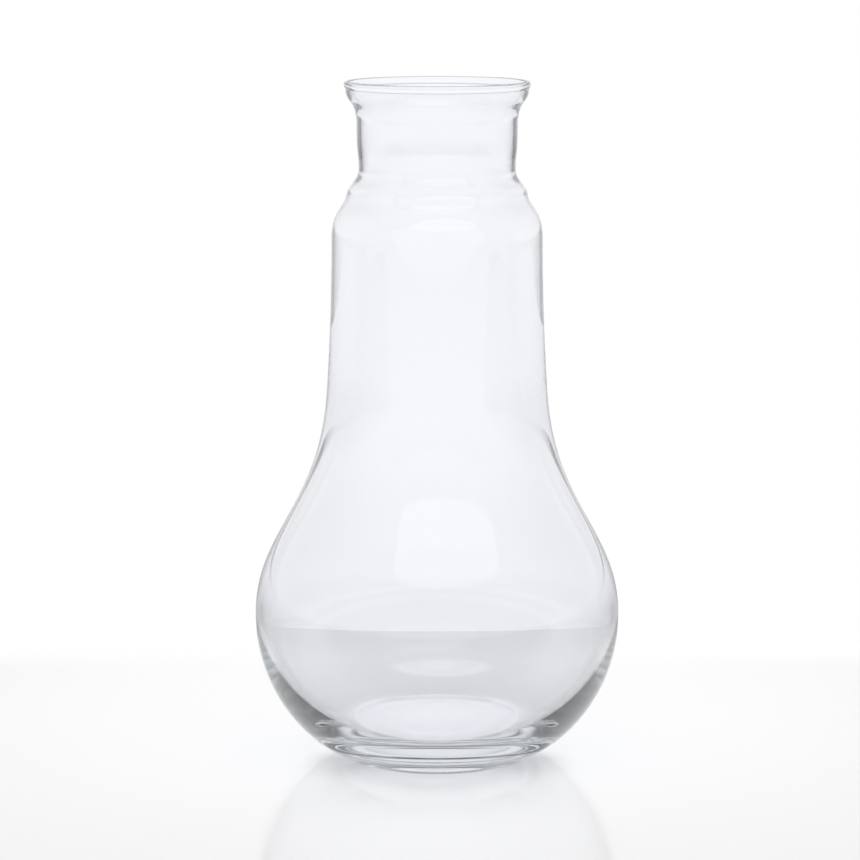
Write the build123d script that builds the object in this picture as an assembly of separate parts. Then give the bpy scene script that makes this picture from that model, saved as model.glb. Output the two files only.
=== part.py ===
from build123d import *
import os

# A hyacinth forcing vase, blown in one piece of clear glass.
# It is a body of revolution about Z that stands on z = 0. All sizes are in millimetres.
# The outer and the inner wall run through the same levels, and meet in the rounded lip.

# Heights of the stretches of the wall, stacked from the table up
bulb_height = 49.4  # table to the bulb's widest level
sweep_height = 75.6  # widest level to the waist, where the bulb runs into the column
column_height = 52.1  # waist to the top of the column
shoulder_height = 15.4  # top of the column to the collar
tuck_height = 7.8  # collar to the throat
throat_height = 3.0  # the straight, narrowest stretch that a bulb rests on
neck_height = 12.6  # top of the throat to the foot of the cove
cove_height = 11.6  # the flare under the lip
lip_height = 2.5  # the bead round the mouth

# Outer diameters at those levels
foot_diameter = 60.0
bulb_diameter = 123.8
waist_diameter = 74.7
column_diameter = 71.0
collar_diameter = 60.6
neck_diameter = 54.0
lip_diameter = 62.3
lip_overhang = 0.5  # how far the bead stands out from the cove below it

# The bore of the throat and the thickness of the glass
throat_bore = 50.0
throat_wall = 1.35
neck_wall = 1.5
lip_wall = 1.7
collar_wall = 1.0
column_wall = 0.85
waist_wall = 1.45
bulb_wall = 2.3

# The floor inside: a low dome in a round edge, from which the bowl rises
floor_diameter = 57.0
floor_height = 8.9  # table to the edge of the floor
floor_dome = 1.7  # rise of the dome above that edge

# The foot: a flat ring round a very shallow hollow
foot_ring_width = 9.4
punt_depth = 0.5

# The heel's rise from the table and the collar's lean from upright, in degrees
heel_angle = 16.8
collar_lean = 6.0

# How far the curves' handles reach
heel_reach = 14.0
bulb_low_reach = 27.8
bulb_high_reach = 27.5
waist_reach = 39.6
shoulder_reach = 9.8
collar_reach = 4.8  # down from the collar
tuck_reach = 2.4  # up from the collar
throat_reach = 3.3
throat_top_reach = 1.5
neck_reach = 9.0
cove_reach = 8.4
lip_root_reach = 5.2
bowl_reach = 22.3  # the inside of the bulb, below its widest level
floor_reach = 13.4  # outward from the edge of the floor
dome_foot_reach = 7.0  # inward from the edge of the floor
dome_reach = 18.0  # outward from the middle of the dome

# Levels of the stations above the table
waist_level = bulb_height + sweep_height
column_level = waist_level + column_height
collar_level = column_level + shoulder_height
throat_level = collar_level + tuck_height
neck_foot_level = throat_level + throat_height
cove_level = neck_foot_level + neck_height
lip_root_level = cove_level + cove_height
overall_height = lip_root_level + lip_height
bead_level = overall_height - lip_wall / 2  # middle of the lip's rounded top

# Stations of the outer wall from the lip down to the bulb: radius, height and the glass behind it
throat_radius = throat_bore / 2 + throat_wall
lip_root_radius = lip_diameter / 2 - lip_overhang
stations = {
    "lip_root": (lip_root_radius, lip_root_level, lip_wall - lip_overhang),
    "cove": (neck_diameter / 2, cove_level, neck_wall),
    "neck_foot": (throat_radius, neck_foot_level, throat_wall),
    "throat": (throat_radius, throat_level, throat_wall),
    "collar": (collar_diameter / 2, collar_level, collar_wall),
    "column": (column_diameter / 2, column_level, column_wall),
    "waist": (waist_diameter / 2, waist_level, waist_wall),
    "bulb": (bulb_diameter / 2, bulb_height, bulb_wall),
}
outside = {name: Vector(r, z) for name, (r, z, wall) in stations.items()}
inside = {name: Vector(r - wall, z) for name, (r, z, wall) in stations.items()}

up = Vector(0, 1)
out = Vector(1, 0)


def upright(high, high_reach, low_reach, low):
    """A curve between two stations that is upright at both, so that the stretches run on smoothly."""
    return Bezier(high, high - up * high_reach, low + up * low_reach, low)


def side(at):
    """The stretches from the lip's root down to the bulb's widest level, through the given stations."""
    throat, collar, column = at["throat"], at["collar"], at["column"]
    waist, bulb = at["waist"], at["bulb"]
    down_collar = (-up).rotate(Axis.Z, collar_lean)
    column_side = TangentArc(column, waist, tangent=-up)
    return [
        upright(at["lip_root"], lip_root_reach, cove_reach, at["cove"]),
        upright(at["cove"], neck_reach, throat_top_reach, at["neck_foot"]),
        Line(at["neck_foot"], throat),
        Bezier(throat, throat - up * throat_reach, collar - down_collar * tuck_reach, collar),
        Bezier(collar, collar + down_collar * collar_reach, column + up * shoulder_reach, column),
        column_side,
        Bezier(waist, waist + (column_side % 1) * waist_reach, bulb + up * bulb_high_reach, bulb),
    ]


def lip():
    """The bead round the mouth: up its inside, over its fire-polished top and down to the cove outside."""
    bead_outside = Vector(lip_diameter / 2, bead_level)
    bead_inside = bead_outside - out * lip_wall
    return [
        Line(inside["lip_root"], bead_inside),
        TangentArc(bead_inside, bead_outside, tangent=up),
        TangentArc(bead_outside, outside["lip_root"], tangent=-up),
    ]


def base():
    """The heavy bottom: heel, flat foot ring, shallow hollow, and the domed floor and the bowl inside."""
    foot = Vector(foot_diameter / 2, 0)
    ring_inside = foot - out * foot_ring_width
    punt_middle = up * punt_depth
    floor_edge = Vector(floor_diameter / 2, floor_height)
    floor_middle = up * (floor_height + floor_dome)
    dome_handle = floor_middle + out * dome_reach
    heel_rise = out.rotate(Axis.Z, heel_angle)
    bulb, bowl = outside["bulb"], inside["bulb"]
    return [
        Bezier(bulb, bulb - up * bulb_low_reach, foot + heel_rise * heel_reach, foot),
        Line(foot, ring_inside),
        TangentArc(punt_middle, ring_inside, tangent=out),
        Line(punt_middle, floor_middle),
        Bezier(floor_middle, dome_handle, floor_edge - out * dome_foot_reach, floor_edge),
        Bezier(floor_edge, floor_edge + out * floor_reach, bowl - up * bowl_reach, bowl),
    ]


def glass_vessel():
    half_section = make_face(lip() + side(outside) + base() + side(inside))
    return revolve(Plane.XZ * half_section, Axis.Z)


os.makedirs("parts", exist_ok=True)
vessel = glass_vessel()
export_step(vessel, "parts/glass_vessel.step")
print(f"overall height {overall_height:.1f} mm, glass {vessel.volume / 1000:.1f} cm3")
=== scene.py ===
# %% [markdown]
# A hyacinth forcing vase is blown in one piece of clear glass. A bulb sits in the flared mouth and rests on
# the narrow throat, and its roots reach down into the water in the round body. There is one piece to make,
# so the whole lesson is about glass: a wall with two true surfaces, and a room for it to bend.

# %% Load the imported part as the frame
import math

import bpy
import mathutils
import numpy as np
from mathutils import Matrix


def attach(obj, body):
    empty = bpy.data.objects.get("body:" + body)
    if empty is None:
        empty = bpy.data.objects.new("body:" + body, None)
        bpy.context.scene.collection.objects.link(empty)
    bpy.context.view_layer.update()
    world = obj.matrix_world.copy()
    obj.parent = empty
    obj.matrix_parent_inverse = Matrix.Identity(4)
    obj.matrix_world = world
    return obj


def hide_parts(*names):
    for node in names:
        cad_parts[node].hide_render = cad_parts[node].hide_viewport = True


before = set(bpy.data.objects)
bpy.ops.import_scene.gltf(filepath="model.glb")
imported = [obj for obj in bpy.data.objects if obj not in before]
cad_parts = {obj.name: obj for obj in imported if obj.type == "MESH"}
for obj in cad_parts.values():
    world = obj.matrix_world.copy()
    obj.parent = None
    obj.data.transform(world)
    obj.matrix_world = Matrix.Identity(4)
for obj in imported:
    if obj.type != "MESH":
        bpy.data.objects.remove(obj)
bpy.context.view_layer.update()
MM = 0.001

# %% [markdown]
# The sizes are those of the part, read from the table up. A blown vase has no flat faces to measure from,
# so its levels are the places where its side changes direction: the widest level of the bulb, the waist,
# the top of the column, the collar, the throat and the lip.

# %% Heights and outer diameters
bulb_height = 49.4 * MM
sweep_height = 75.6 * MM
column_height = 52.1 * MM
shoulder_height = 15.4 * MM
tuck_height = 7.8 * MM
throat_height = 3.0 * MM
neck_height = 12.6 * MM
cove_height = 11.6 * MM
lip_height = 2.5 * MM

foot_diameter = 60.0 * MM
bulb_diameter = 123.8 * MM
waist_diameter = 74.7 * MM
column_diameter = 71.0 * MM
collar_diameter = 60.6 * MM
neck_diameter = 54.0 * MM
lip_diameter = 62.3 * MM
lip_overhang = 0.5 * MM
print("bulb", round(bulb_diameter / MM, 1), "mm across, lip", round(lip_diameter / MM, 1), "mm across")

# %% The glass behind each level, and the foot
throat_bore = 50.0 * MM
throat_wall = 1.35 * MM
neck_wall = 1.5 * MM
lip_wall = 1.7 * MM
collar_wall = 1.0 * MM
column_wall = 0.85 * MM
waist_wall = 1.45 * MM
bulb_wall = 2.3 * MM
floor_diameter = 57.0 * MM
floor_height = 8.9 * MM
floor_dome = 1.7 * MM
foot_ring_width = 9.4 * MM
punt_depth = 0.5 * MM
print("wall", round(column_wall / MM, 2), "mm in the column and", round(bulb_wall / MM, 2), "mm at the bulb")

# %% [markdown]
# A half section of the wall could be drawn as a long list of points, but a list is hard to change and never
# quite smooth. Here each stretch between two levels is a curve with handles, as in a drawing program: a
# cubic Bezier curve, a line, or an arc that leaves its start along a given direction.

# %% Curves for the half section
UP = np.array([0.0, 1.0])
OUT = np.array([1.0, 0.0])


def line(start, end, count):
    """Points start + t (end - start), for count steps of t from 0 to 1."""
    t = np.linspace(0, 1, count + 1)[:, None]
    return start + t * (end - start)


def bezier(a, b, c, d, count):
    """A cubic Bezier curve: a, b, c and d weighed by (1-t)^3, 3t(1-t)^2, 3t^2(1-t) and t^3."""
    t = np.linspace(0, 1, count + 1)[:, None]
    s = 1 - t
    return s**3 * a + 3 * t * s**2 * b + 3 * t**2 * s * c + t**3 * d


def arc(start, end, tangent, count):
    """A circular arc that leaves start along tangent and ends in end. Its centre lies square to the tangent,
    at a radius of the chord squared over twice the chord's reach in that direction."""
    normal = np.array([-tangent[1], tangent[0]])
    chord = end - start
    radius = chord @ chord / (2 * chord @ normal)
    centre = start + radius * normal
    turn = 2 * math.atan2(chord @ normal, chord @ tangent)
    t = np.linspace(0, turn, count + 1)[:, None]
    return centre + radius * (np.sin(t) * tangent - np.cos(t) * normal)


def arc_end(start, end, tangent):
    """The direction in which that arc ends: the tangent at its start, mirrored in the chord."""
    chord = (end - start) / np.linalg.norm(end - start)
    return 2 * (chord @ tangent) * chord - tangent


def upright(low, low_reach, high_reach, high, count):
    """A Bezier curve that stands upright at both of its ends."""
    return bezier(low, low + UP * low_reach, high - UP * high_reach, high, count)


print("a quarter turn ends at", np.round(arc(OUT, UP, UP, 4)[-1], 6).tolist(), "and should end at [0, 1]")

# %% [markdown]
# The heights are stacked, so a change to one of them carries everything above it along. A station is a place
# on the outside of the wall with the glass behind it. Both surfaces run through the same stations, the inner
# one set back by the glass. That is how the wall gets its slow changes of thickness, which is what the eye
# reads in clear glass. A Solidify modifier could thicken one surface, but its weights would have to be set
# level by level all the same.

# %% Levels and stations
waist_level = bulb_height + sweep_height
column_level = waist_level + column_height
collar_level = column_level + shoulder_height
throat_level = collar_level + tuck_height
neck_foot_level = throat_level + throat_height
cove_level = neck_foot_level + neck_height
lip_root_level = cove_level + cove_height
overall_height = lip_root_level + lip_height
bead_level = overall_height - lip_wall / 2

throat_radius = throat_bore / 2 + throat_wall
stations = {
    "bulb": (bulb_diameter / 2, bulb_height, bulb_wall),
    "waist": (waist_diameter / 2, waist_level, waist_wall),
    "column": (column_diameter / 2, column_level, column_wall),
    "collar": (collar_diameter / 2, collar_level, collar_wall),
    "throat": (throat_radius, throat_level, throat_wall),
    "neck_foot": (throat_radius, neck_foot_level, throat_wall),
    "cove": (neck_diameter / 2, cove_level, neck_wall),
    "lip_root": (lip_diameter / 2 - lip_overhang, lip_root_level, lip_wall - lip_overhang),
}
outside = {name: np.array([r, z]) for name, (r, z, wall) in stations.items()}
inside = {name: np.array([r - wall, z]) for name, (r, z, wall) in stations.items()}
print("overall height", round(overall_height / MM, 2), "mm")

# %% [markdown]
# The side runs from the round bulb up through the column, draws in over the shoulder to the collar and the
# throat, and flares again to the lip. Neighbouring curves share their direction where they meet, so that
# nothing but the glass itself catches the light. A reach is the length of a curve's handle.

# %% The side of the vase, from the bulb up to the lip
waist_reach = 39.6 * MM
bulb_high_reach = 27.5 * MM
shoulder_reach = 9.8 * MM
collar_reach = 4.8 * MM
tuck_reach = 2.4 * MM
throat_reach = 3.3 * MM
throat_top_reach = 1.5 * MM
neck_reach = 9.0 * MM
cove_reach = 8.4 * MM
lip_root_reach = 5.2 * MM
collar_lean = math.radians(6.0)

sweep_steps = 60
column_steps = 28
shoulder_steps = 28
tuck_steps = 18
throat_steps = 4
neck_steps = 14
cove_steps = 16


def side(at):
    """The stretches of one surface, from the bulb's widest level up to the root of the lip."""
    bulb, waist, column = at["bulb"], at["waist"], at["column"]
    collar, throat = at["collar"], at["throat"]
    into_bulb = arc_end(column, waist, -UP)
    up_collar = np.array([-math.sin(collar_lean), math.cos(collar_lean)])
    above_bulb, below_waist = bulb + UP * bulb_high_reach, waist + into_bulb * waist_reach
    above_column, below_collar = column + UP * shoulder_reach, collar - up_collar * collar_reach
    above_collar, below_throat = collar + up_collar * tuck_reach, throat - UP * throat_reach
    return [
        bezier(bulb, above_bulb, below_waist, waist, sweep_steps),
        arc(column, waist, -UP, column_steps)[::-1],
        bezier(column, above_column, below_collar, collar, shoulder_steps),
        bezier(collar, above_collar, below_throat, throat, tuck_steps),
        line(throat, at["neck_foot"], throat_steps),
        upright(at["neck_foot"], throat_top_reach, neck_reach, at["cove"], neck_steps),
        upright(at["cove"], cove_reach, lip_root_reach, at["lip_root"], cove_steps),
    ]


print("side of the vase in", len(side(outside)), "stretches")

# %% [markdown]
# The mouth of a blown vase is melted round again in a flame after the glass is cut, which leaves a small
# bead. A Bevel modifier could round a square edge, but the bead is not even: an arc goes over its top and a
# flatter one runs down to the cove outside, so both are drawn.

# %% The lip
bead_side_steps = 8
bead_top_steps = 14
bead_inside_steps = 4


def lip():
    """The bead round the mouth, from the outer cove over its rounded top and down its inside."""
    bead_outside = np.array([lip_diameter / 2, bead_level])
    bead_inside = bead_outside - OUT * lip_wall
    return [
        arc(bead_outside, outside["lip_root"], -UP, bead_side_steps)[::-1],
        arc(bead_outside, bead_inside, UP, bead_top_steps),
        line(bead_inside, inside["lip_root"], bead_inside_steps),
    ]


print("lip in", len(lip()), "stretches, top at", round(lip()[1][:, 1].max() / MM, 2), "mm")

# %% [markdown]
# Glass gathers at the bottom, so the base is heavy: a flat foot ring round a shallow hollow below, and a
# floor that rises in a low dome above. In an opaque vase none of this would show from outside. In clear glass
# these surfaces make the rings of light and dark at the foot, so each of them is drawn where it lies.

# %% The heavy base with its foot, and the bowl inside
heel_angle = math.radians(16.8)
heel_reach = 14.0 * MM
bulb_low_reach = 27.8 * MM
bowl_reach = 22.3 * MM
floor_reach = 13.4 * MM
dome_foot_reach = 7.0 * MM
dome_reach = 18.0 * MM

punt_steps = 24
ring_steps = 6
heel_steps = 56
bowl_steps = 56
dome_steps = 24


def underside():
    """From the middle of the hollow under the foot, over the foot ring and up the heel to the bulb."""
    foot = np.array([foot_diameter / 2, 0.0])
    ring_inside = foot - OUT * foot_ring_width
    heel_rise = np.array([math.cos(heel_angle), math.sin(heel_angle)])
    bulb = outside["bulb"]
    return [
        arc(UP * punt_depth, ring_inside, OUT, punt_steps),
        line(ring_inside, foot, ring_steps),
        bezier(foot, foot + heel_rise * heel_reach, bulb - UP * bulb_low_reach, bulb, heel_steps),
    ]


def bowl():
    """From the inside of the bulb down to the edge of the floor, and over its low dome to the middle."""
    start = inside["bulb"]
    edge = np.array([floor_diameter / 2, floor_height])
    middle = UP * (floor_height + floor_dome)
    return [
        bezier(start, start - UP * bowl_reach, edge + OUT * floor_reach, edge, bowl_steps),
        bezier(edge, edge - OUT * dome_foot_reach, middle + OUT * dome_reach, middle, dome_steps),
    ]


base_glass = floor_height + floor_dome - punt_depth
print("glass in the middle of the base", round(base_glass / MM, 2), "mm")

# %% The whole half section


def join(stretches):
    """Runs the stretches together, leaving out the point that each shares with the one before it."""
    return np.concatenate([stretches[0]] + [s[1:] for s in stretches[1:]])


inner_wall = [stretch[::-1] for stretch in side(inside)[::-1]]
half_section = join(underside() + side(outside) + lip() + inner_wall + bowl())
print("half section", len(half_section), "points")

# %% [markdown]
# Turning the half section about the axis gives the vase. The grid has one row for each point of the section
# and one column for each step of the turn. The first and the last point lie on the axis, so each of them is
# a single vertex with a fan of triangles, which leaves no hole and no seam.

# %% Turn the half section into a closed mesh
turn_steps = 160
sharp_angle = math.radians(25.0)
CM3 = 1e-6


def lathe(section, steps):
    """The surface (r cos a, r sin a, z), for each section point (r, z) and each angle a of a full turn.
    Gives the vertices, the quads between the rows, and the two fans at the axis."""
    angle = np.arange(steps) * 2 * math.pi / steps
    r, z = section[1:-1].T
    ring = np.stack(
        [np.outer(r, np.cos(angle)), np.outer(r, np.sin(angle)), np.repeat(z[:, None], steps, 1)], axis=2
    )
    poles = np.array([[0, 0, section[0, 1]], [0, 0, section[-1, 1]]])
    index = np.arange(len(r) * steps).reshape(len(r), steps)
    after = np.roll(index, -1, axis=1)
    quads = np.stack([index[:-1], after[:-1], after[1:], index[1:]], axis=2).reshape(-1, 4)
    first, last = len(r) * steps, len(r) * steps + 1
    fan_in = np.stack([np.full(steps, first), after[0], index[0]], axis=1)
    fan_out = np.stack([np.full(steps, last), index[-1], after[-1]], axis=1)
    return np.concatenate([ring.reshape(-1, 3), poles]), quads, np.concatenate([fan_in, fan_out])


def make_piece(name, vertices, faces):
    """A smooth-shaded mesh object at the origin, from whole arrays of vertices and faces. Edges that turn by
    more than the sharp angle stay sharp."""
    mesh = bpy.data.meshes.new(name)
    mesh.from_pydata(vertices.tolist(), [], [f for block in faces for f in block.tolist()])
    mesh.polygons.foreach_set("use_smooth", np.ones(len(mesh.polygons), bool))
    mesh.set_sharp_from_angle(angle=sharp_angle)
    mesh.validate()
    mesh.update()
    piece = bpy.data.objects.new(name, mesh)
    bpy.context.scene.collection.objects.link(piece)
    return piece


def signed_volume(vertices, quads, triangles):
    """The sum of the signed volumes of the tetrahedra from the origin to each face. It is above 0 where the
    faces point out."""
    split = np.concatenate([quads[:, [0, 1, 2]], quads[:, [0, 2, 3]], triangles])
    a, b, c = (vertices[split[:, i]] for i in range(3))
    return np.einsum("ij,ij->i", a, np.cross(b, c)).sum() / 6


vessel_vertices, vessel_quads, vessel_fans = lathe(half_section, turn_steps)
vessel = make_piece("blown_glass_vessel", vessel_vertices, [vessel_quads, vessel_fans])
vessel_volume = signed_volume(vessel_vertices, vessel_quads, vessel_fans)
vessel_triangles = len(vessel_quads) * 2 + len(vessel_fans)
print("vessel:", vessel_triangles, "triangles,", round(vessel_volume / CM3, 1), "cm3 of glass")

# %% [markdown]
# Shader maths is easier to read as arithmetic than as a web of boxes. This small class holds one socket of a
# node tree; adding, subtracting or multiplying it adds the Math node that does so, and any other node comes
# from its method add.

# %% A socket that does arithmetic


class Wire:
    """One output socket, in the tree that it belongs to."""

    def __init__(self, tree, socket=None):
        self.tree = tree
        self.socket = socket

    def add(self, kind, settings=None, inputs=None, output=0):
        """Adds a node of that type, sets its settings, then its inputs by name or number, and gives one of
        its outputs."""
        node = self.tree.nodes.new(kind)
        for name, value in (settings or {}).items():
            setattr(node, name, value)
        for name, value in (inputs or {}).items():
            if isinstance(value, Wire):
                self.tree.links.new(value.socket, node.inputs[name])
            else:
                node.inputs[name].default_value = value
        return Wire(self.tree, node.outputs[output] if node.outputs else None)

    def math(self, operation, *others):
        """A Math node whose first input is this value."""
        return self.add("ShaderNodeMath", {"operation": operation}, dict(enumerate((self,) + others)))

    def __add__(self, other):
        return self.math("ADD", other)

    def __sub__(self, other):
        return self.math("SUBTRACT", other)

    def __mul__(self, other):
        return self.math("MULTIPLY", other)

    def __rsub__(self, other):
        return self * -1 + other

    __radd__ = __add__
    __rmul__ = __mul__

    def at_least(self, count):
        """1 where this whole number is the count or more, and 0 below it."""
        return self.math("GREATER_THAN", count - 0.5)

    def ramp(self, start, end):
        """0 up to start and 1 from end on, with an eased step between them. Where end is the lower number,
        the step goes down instead of up."""
        return self.add(
            "ShaderNodeMapRange",
            {"interpolation_type": "SMOOTHSTEP"},
            {"Value": self, "From Min": start, "From Max": end},
        )

    def mix(self, first, second):
        """The colour first where this value is 0 and second where it is 1."""
        node = {"data_type": "RGBA"}
        return self.add("ShaderNodeMix", node, {0: self, 6: first, 7: second}, output=2)


def new_material(name):
    """An empty material, and a Wire into its tree."""
    material = bpy.data.materials.new(name)
    material.use_nodes = True
    material.node_tree.nodes.clear()
    return material, Wire(material.node_tree)


def length(x, y):
    """The distance from the middle: the square root of x squared plus y squared."""
    return (x * x + y * y).math("SQRT")


print("a Wire can add, subtract, multiply, compare, ramp and mix")

# %% [markdown]
# Clear glass is not a colour: it shows what lies behind it, bent by the wall. The shader is a Principled BSDF
# that lets all light through at the refractive index of soda-lime glass. The faint blue-grey of the thick
# base comes from absorption along the way through the glass, so it deepens by itself where the wall is heavy.
# The melted lip has bends that are finer than the mesh, and on a real vase they show as thin dark lines where
# the glass turns the light aside. Here that shade is painted as dark lines in the colour, on the top of the
# lip and in the crease under its bead. A very slight ripple keeps the surface from looking machined.

# %% Clear blown glass
glass_index = 1.5
glass_tint = (0.71, 0.76, 0.785, 1.0)
glass_density = 6.0
clear = (0.984, 0.987, 1.0, 1.0)
# painted shade: the dark lines that the lip's fine bends would make in the glass
painted_line_shade = (0.50, 0.51, 0.53, 1.0)
top_shade_line = (overall_height - 0.45 * MM, overall_height - 0.15 * MM)
crease_shade_line = (0.30 * MM, 0.10 * MM)
crease_shade_share = 0.6
ripple_scale = 55.0
ripple_detail = 1.0
ripple_strength = 0.2
ripple_height = 0.02 * MM


def clear_glass():
    """Glass whose colour is clear, but with painted shade lines near the lip's top level and near the level
    of the crease.
    """
    material, wire = new_material("clear_blown_glass")
    place = wire.add("ShaderNodeTexCoord", output="Object")
    z = wire.add("ShaderNodeSeparateXYZ", None, {0: place}, output="Z")
    crease = (z - lip_root_level).math("ABSOLUTE").ramp(*crease_shade_line)
    colour = z.ramp(*top_shade_line).math("MAXIMUM", crease_shade_share * crease).mix(clear, painted_line_shade)
    noise = {"Vector": place, "Scale": ripple_scale, "Detail": ripple_detail}
    ripple = wire.add("ShaderNodeTexNoise", None, noise)
    bump = {"Strength": ripple_strength, "Distance": ripple_height, "Height": ripple}
    surface = wire.add(
        "ShaderNodeBsdfPrincipled",
        None,
        {
            "Base Color": colour,
            "Roughness": 0.0,
            "IOR": glass_index,
            "Transmission Weight": 1.0,
            "Normal": wire.add("ShaderNodeBump", None, bump),
        },
    )
    volume = wire.add("ShaderNodeVolumeAbsorption", None, {"Color": glass_tint, "Density": glass_density})
    wire.add("ShaderNodeOutputMaterial", None, {"Surface": surface, "Volume": volume})
    return material


vessel.data.materials.append(clear_glass())
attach(vessel, "root")
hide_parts("glass_vessel")
print("glass on", vessel.name)

# %% [markdown]
# The vase stands on a pale, slightly glossy table whose straight back edge runs behind it. Through the lower
# half of the bulb that edge shows as a step from the light of the backdrop to the grey of the table. A pool
# of light lies on the table behind the vase. It is a colour of the table and not a second lamp, because a
# lamp would also be mirrored in the glass.

# %% The table and the pool of light on it
backdrop = (1.0, 1.0, 1.0, 1.0)
table_gap = 0.2 * MM
table_back = 158.5 * MM
table_front = -900.0 * MM
table_side = 1600.0 * MM
table_bright = (0.975, 0.975, 0.98, 1.0)
table_dim = (0.85, 0.85, 0.855, 1.0)
pool_behind = 80.0 * MM
pool_edge = (50.0 * MM, 300.0 * MM)
pool_unevenness = 0.02
back_fade = (table_back - 40.0 * MM, table_back)


def floor_place(wire):
    """Where a point of the floor lies to the side and to the back of the vase."""
    place = wire.add("ShaderNodeTexCoord", output="Object")
    return [wire.add("ShaderNodeSeparateXYZ", None, {0: place}, output=axis) for axis in "XY"]


def floor_corners(reach, front, back):
    """A rectangle just below the foot, which reaches equally far to both sides."""
    return np.array(
        [
            [-reach, front, -table_gap],
            [reach, front, -table_gap],
            [reach, back, -table_gap],
            [-reach, back, -table_gap],
        ]
    )


def pool_of_light(x, y, mottle):
    """Bright near a point behind the vase and dimmer with the distance from it, which a mottle makes uneven.
    Over the last stretch before the back edge the table turns white."""
    distance = length(x, y - pool_behind) + pool_unevenness * mottle
    pool = distance.ramp(*pool_edge).mix(table_bright, table_dim)
    return y.ramp(*back_fade).mix(pool, backdrop)


print("table back edge", round(table_back / MM), "mm behind the vase")

# %% [markdown]
# A glass vase throws a thin shadow, and gathers some of the light that falls through it into a bright patch.
# A path tracer can find both by following light through the glass, but in a short render they come out as
# noise. So the shares of light are worked out by place on the table: one for the table as it is, and one for
# the table as it shows through the glass.

# %% Shade and focused light on the table
shadow_front = (6.0 * MM, -10.0 * MM)
shadow_ahead = (-0.55, -0.95)
shadow_depth = 0.34
shadow_ahead_less = 0.26
shadow_slant = 0.26
shadow_width = (36.0 * MM, 46.0 * MM)
foot_shadow = (27.0 * MM, 57.0 * MM)

under_foot = (29.0 * MM, 36.0 * MM)
under_foot_light = 0.93
near_loss = 0.19
far_gain = 0.22
glass_shadow = (25.0 * MM, 130.0 * MM)
caustic_place = (2.0 * MM, 89.0 * MM)
caustic_size = 19.0 * MM
caustic_edge = (1.15 * caustic_size, 0.85 * caustic_size)
caustic_light = 0.12


def light_by_foot(x, y, radius):
    """1, less a shadow in front of the foot that fades outwards. It is weaker straight ahead, where y is
    nearly the whole of the distance, and it ends at a slanting line on each side."""
    ahead = y.math("DIVIDE", radius).ramp(*shadow_ahead)
    past_side = (x.math("ABSOLUTE") + shadow_slant * y).ramp(*shadow_width)
    strength = y.ramp(*shadow_front) * (shadow_depth - shadow_ahead_less * ahead) * (1 - past_side)
    return 1 - strength * (1 - radius.ramp(*foot_shadow))


def light_through_glass(x, y, radius):
    """The share under the foot, less a loss just outside it that is made good further out, and a round patch
    of focused light added behind."""
    caustic = length(x - caustic_place[0], y - caustic_place[1]).ramp(*caustic_edge)
    outer = radius.ramp(*under_foot) * (far_gain * radius.ramp(*glass_shadow) - near_loss)
    return under_foot_light + outer + caustic_light * caustic


print("focused light", round(caustic_place[1] / MM), "mm behind the middle of the vase")

# %% [markdown]
# Beside a lit table a studio is dark, and the walls of the vase mirror that. So two strips of floor, to the
# left and to the right, are painted a shaded grey, but only for light that the glass has reflected. The table
# itself is a pale lacquer, and an uneven gloss keeps it from looking like paper.

# %% The table's painted shade and its lacquer
black = (0.0, 0.0, 0.0, 1.0)
# painted shade: grey on the floor beside the vase, for light that the glass has reflected
unlit = (0.55, 0.55, 0.56, 1.0)
unlit_side = (90.0 * MM, 170.0 * MM)
unlit_end = (600.0 * MM, 300.0 * MM)
unlit_front = (-130.0 * MM, -50.0 * MM)
unlit_back = (320.0 * MM, 230.0 * MM)
mottle_scale = 9.0
mottle_detail = 3.0
lacquer_index = 1.5
lacquer_roughness = 0.12
lacquer_unevenness = 0.05


def unlit_floor(wire, x, y, colour):
    """The floor's colour, mixed with grey on the two strips beside the vase for light that was reflected."""
    reflected = wire.add("ShaderNodeLightPath", output="Glossy Depth").at_least(1)
    aside = x.math("ABSOLUTE")
    beside = aside.ramp(*unlit_side) * aside.ramp(*unlit_end) * y.ramp(*unlit_front) * y.ramp(*unlit_back)
    return (reflected * beside).mix(colour, unlit)


def white_table():
    """The pool of light times the share of light by the foot, or the share through the glass for light that
    came that way."""
    material, wire = new_material("white_table")
    place = wire.add("ShaderNodeTexCoord", output="Object")
    x, y = floor_place(wire)
    bent = wire.add("ShaderNodeLightPath", output="Is Transmission Ray")
    noise = {"Vector": place, "Scale": mottle_scale, "Detail": mottle_detail}
    mottle = wire.add("ShaderNodeTexNoise", None, noise)
    radius = length(x, y)
    by_foot = light_by_foot(x, y, radius)
    share = by_foot + bent * (light_through_glass(x, y, radius) - by_foot)
    colour = unlit_floor(wire, x, y, share.mix(black, pool_of_light(x, y, mottle)))
    roughness = lacquer_roughness + lacquer_unevenness * mottle
    lacquer = {"Base Color": colour, "Roughness": roughness, "IOR": lacquer_index}
    surface = wire.add("ShaderNodeBsdfPrincipled", None, lacquer)
    wire.add("ShaderNodeOutputMaterial", None, {"Surface": surface})
    return material


one_face = [np.array([[0, 1, 2, 3]])]
table = make_piece("table", floor_corners(table_side, table_front, table_back), one_face)
table.data.materials.append(white_table())
print("table has", len(table.data.materials[0].node_tree.nodes), "nodes in its finish")

# %% [markdown]
# Beyond the table a white sweep runs on to the back. The camera sees no difference between it and the
# backdrop, but the glass does: where the wall turns light aside and down, that light lands on the sweep. A
# real sweep is lit unevenly. So through the glass it is a little dimmer near the table and to the sides, and
# for light that the glass has reflected it is grey, the more so near the table.

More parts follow.
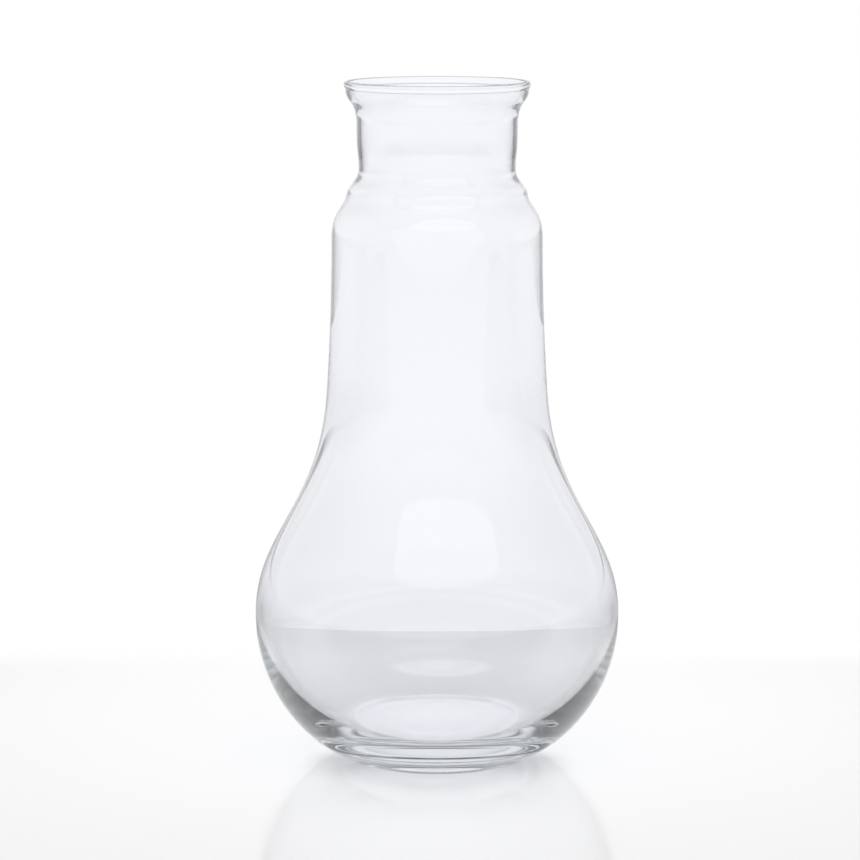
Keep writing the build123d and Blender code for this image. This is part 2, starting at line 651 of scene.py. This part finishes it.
# %% The sweep behind the table
sweep_back = 950.0 * MM
sweep_side = 1600.0 * MM
through_glass = (0.975, 0.98, 1.0, 1.0)
low_glass = (0.925, 0.93, 0.96, 1.0)
low_fade = (160.0 * MM, 560.0 * MM)
side_glass = (0.86, 0.865, 0.895, 1.0)
side_fade = (25.0 * MM, 100.0 * MM)
side_fade_back = (800.0 * MM, 450.0 * MM)
sweep_near = (0.62, 0.62, 0.64, 1.0)
sweep_aside = (0.84, 0.84, 0.86, 1.0)
near_fade = (160.0 * MM, 640.0 * MM)


def white_sweep():
    """Glows white, with painted dimming by place for light through the glass, and painted grey for reflected
    light.
    """
    material, wire = new_material("white_sweep")
    reflected = wire.add("ShaderNodeLightPath", output="Glossy Depth").at_least(1)
    bent = wire.add("ShaderNodeLightPath", output="Is Transmission Ray")
    x, y = floor_place(wire)
    middle = y.ramp(*low_fade).mix(low_glass, through_glass)
    to_side = x.math("ABSOLUTE").ramp(*side_fade) * y.ramp(*side_fade_back)
    seen_through = to_side.mix(middle, side_glass)
    mirrored = unlit_floor(wire, x, y, y.ramp(*near_fade).mix(sweep_near, sweep_aside))
    colour = reflected.mix(bent.mix(backdrop, seen_through), mirrored)
    light = wire.add("ShaderNodeEmission", None, {"Color": colour, "Strength": 1.0})
    wire.add("ShaderNodeOutputMaterial", None, {"Surface": light})
    return material


sweep = make_piece("sweep", floor_corners(sweep_side, table_back, sweep_back), one_face)
sweep.data.materials.append(white_sweep())
print("sweep reaches", round(sweep_back / MM), "mm behind the vase")

# %% [markdown]
# Glass is drawn by its surroundings. Light that goes straight through the wall finds the white backdrop, as
# it would with no glass in the way. Where the wall is seen edge-on it turns the light aside, and there a
# photographer stands pale and dark cards just outside the picture, so that the edges show as fine lines.
# Cards that are objects would stand in the way from other sides. So the world does their work: it counts how
# often the light was reflected and how often it crossed a surface of the glass, and each kind of path has
# its own cards. Their levels were set for the view from the front. Each helper below gives one kind by
# direction, where y goes to the back and height goes up.

# %% Cards for light that was reflected once
ceiling = (0.78, 0.78, 0.80, 1.0)
lip_dark = (0.68, 0.68, 0.70, 1.0)
dark_card = (0.10, 0.10, 0.11, 1.0)
side_card = (0.45, 0.45, 0.46, 1.0)
pale_card = (0.84, 0.84, 0.86, 1.0)
horizon = (-0.02, 0.02)
ceiling_rise = (0.25, 0.65)
lip_rise = (0.30, 0.60)
card_foot = (-0.19, -0.15)
card_top = (-0.06, -0.02)
side_turn = (-0.3, 0.1)
ahead_turn = (0.6, 0.8)
straight_ahead = (0.965, 0.985)


def mirrored_room(height):
    """For light off the outside of the glass: pale below the horizon, white above it, a grey ceiling."""
    level = height.ramp(*horizon).mix(pale_card, backdrop)
    return height.ramp(*ceiling_rise).mix(level, ceiling)


def edge_cards(y, height):
    """For light that crossed two surfaces: a low band of cards, grey at the sides and dark ahead but for the
    very middle. All else is pale, and a little darker high up, which draws the lip."""
    ahead_card = y.ramp(*straight_ahead).mix(dark_card, pale_card)
    card = y.ramp(*side_turn).mix(pale_card, y.ramp(*ahead_turn).mix(side_card, ahead_card))
    above = height.ramp(*lip_rise).mix(pale_card, lip_dark)
    return (height.ramp(*card_foot) - height.ramp(*card_top)).mix(above, card)


print("cards from", dark_card[0], "to", pale_card[0], "of white")

# %% Cards for light that crossed the glass again, or was reflected again
table_sheen = (0.20, 0.20, 0.21, 1.0)
far_dark = (0.125, 0.13, 0.13, 1.0)
far_pale = (1.0, 1.0, 1.0, 1.0)
far_low = (0.62, 0.62, 0.64, 1.0)
sheen_turn = (0.55, 0.80)
back_turn = (-0.2, 0.2)
front_rise = (0.02, 0.10)
far_rise = (0.14, 0.35)
far_turn = (0.40, 0.70)
far_horizon = (-0.05, 0.0)


def room_behind(y, height, leaving):
    """For light that crossed three surfaces or more. Leaving the glass, it finds the backdrop behind, and in
    front pale cards low down and dark ones above. Off the gloss of the table it finds dark only behind."""
    front = height.ramp(*front_rise).mix(pale_card, dark_card)
    back = y.ramp(*back_turn).mix(front, backdrop)
    sheen = y.ramp(*sheen_turn).mix(pale_card, table_sheen)
    return leaving.mix(sheen, back)


def far_room(y, height):
    """For light that was reflected twice or more: grey below the horizon and dark above it, but pale where
    it goes up steeply enough to the front or the back."""
    upward = height.ramp(*far_rise) * y.math("ABSOLUTE").ramp(*far_turn)
    return height.ramp(*far_horizon).mix(far_low, upward.mix(far_dark, far_pale))


print("far cards from", far_dark[0], "to", far_pale[0], "of white")

# %% The room round the vase
daylight = (0.98, 0.98, 0.98, 1.0)


def studio_room():
    """Sorts the light by its path. Straight light finds the backdrop or plain daylight. Reflected light finds
    the cards for its number of crossings and reflections, or daylight if it lit a matt surface first."""
    world = bpy.data.worlds.new("studio_room")
    world.use_nodes = True
    world.node_tree.nodes.clear()
    wire = Wire(world.node_tree)
    rays = ("Is Camera Ray", "Is Transmission Ray")
    depths = ("Diffuse Depth", "Glossy Depth", "Transmission Depth")
    path = {name: wire.add("ShaderNodeLightPath", output=name) for name in rays + depths}
    leaving = path["Is Transmission Ray"]
    crossings = path["Transmission Depth"]
    reflections = path["Glossy Depth"]
    direction = wire.add("ShaderNodeTexCoord", output="Generated")
    y, height = (wire.add("ShaderNodeSeparateXYZ", None, {0: direction}, output=axis) for axis in "YZ")
    up_to_two = crossings.at_least(2).mix(mirrored_room(height), edge_cards(y, height))
    once = crossings.at_least(3).mix(up_to_two, room_behind(y, height, leaving))
    aside = reflections.at_least(2).mix(once, far_room(y, height))
    turned = path["Diffuse Depth"].at_least(1).mix(aside, daylight)
    straight = leaving.mix(path["Is Camera Ray"].mix(daylight, backdrop), through_glass)
    colour = reflections.at_least(1).mix(straight, turned)
    light = wire.add("ShaderNodeBackground", None, {"Color": colour, "Strength": 1.0})
    wire.add("ShaderNodeOutputWorld", None, {"Surface": light})
    return world


bpy.context.scene.world = studio_room()
print("room of", len(bpy.context.scene.world.node_tree.nodes), "nodes")

# %% [markdown]
# Light that runs round inside the heavy base is reflected many times before it finds its way out. A render
# stops a path after a set number of bounces, and what it would have shown is lost, so a low number leaves
# dark spots in the base. Filter Glossy would blur what the later reflections show, so it is off.

# %% Enough bounces for the base
base_bounces = 200
cycles = bpy.context.scene.cycles
cycles.max_bounces = base_bounces
cycles.glossy_bounces = base_bounces
cycles.transmission_bounces = base_bounces
cycles.blur_glossy = 0.0
print("light may bounce", base_bounces, "times")

# %% [markdown]
# One softbox hangs above and in front of the vase. It lights the table softly, and its reflection is the pale
# patch on the bulb.

# %% The softbox
softbox_place = (0.09, -0.62, 0.75)
softbox_aim = (0.0, 0.0, 0.09)
softbox_size = (1.15, 0.46)
softbox_radiance = 0.5


def softbox():
    """An oval lamp. Its power is pi times its radiance times its area, and its area is a quarter of pi times
    its width times its depth."""
    lamp = bpy.data.lights.new("softbox", "AREA")
    lamp.shape = "ELLIPSE"
    lamp.size, lamp.size_y = softbox_size
    lamp.energy = softbox_radiance * math.pi * math.pi / 4 * softbox_size[0] * softbox_size[1]
    holder = bpy.data.objects.new("softbox", lamp)
    bpy.context.scene.collection.objects.link(holder)
    holder.location = softbox_place
    aim = mathutils.Vector(softbox_aim) - holder.location
    holder.rotation_mode = "QUATERNION"
    holder.rotation_quaternion = aim.to_track_quat("-Z", "Y")
    holder.visible_camera = False
    return holder


lamp_holder = softbox()
print("softbox of", round(lamp_holder.data.energy, 3), "W")

# %% [markdown]
# The camera stands a little above the vase and looks down on it. Its distance and lens come from how the
# ellipses of the mouth and the foot open at their two heights.

# %% The camera
camera_place = (-2.4 * MM, -1094.4 * MM, 291.2 * MM)
camera_pitch = math.radians(9.29)
camera_lens = 137.0
camera_sensor = 36.0


def camera():
    """A camera that looks to the back, tipped down by its pitch."""
    data = bpy.data.cameras.new("camera")
    data.sensor_width = camera_sensor
    data.lens = camera_lens
    holder = bpy.data.objects.new("camera", data)
    bpy.context.scene.collection.objects.link(holder)
    holder.location = camera_place
    holder.rotation_euler = (math.pi / 2 - camera_pitch, 0.0, 0.0)
    return holder


bpy.context.scene.camera = camera()
bpy.context.scene.view_settings.view_transform = "Standard"
print("camera", round(-camera_place[1] / MM), "mm in front of the vase")
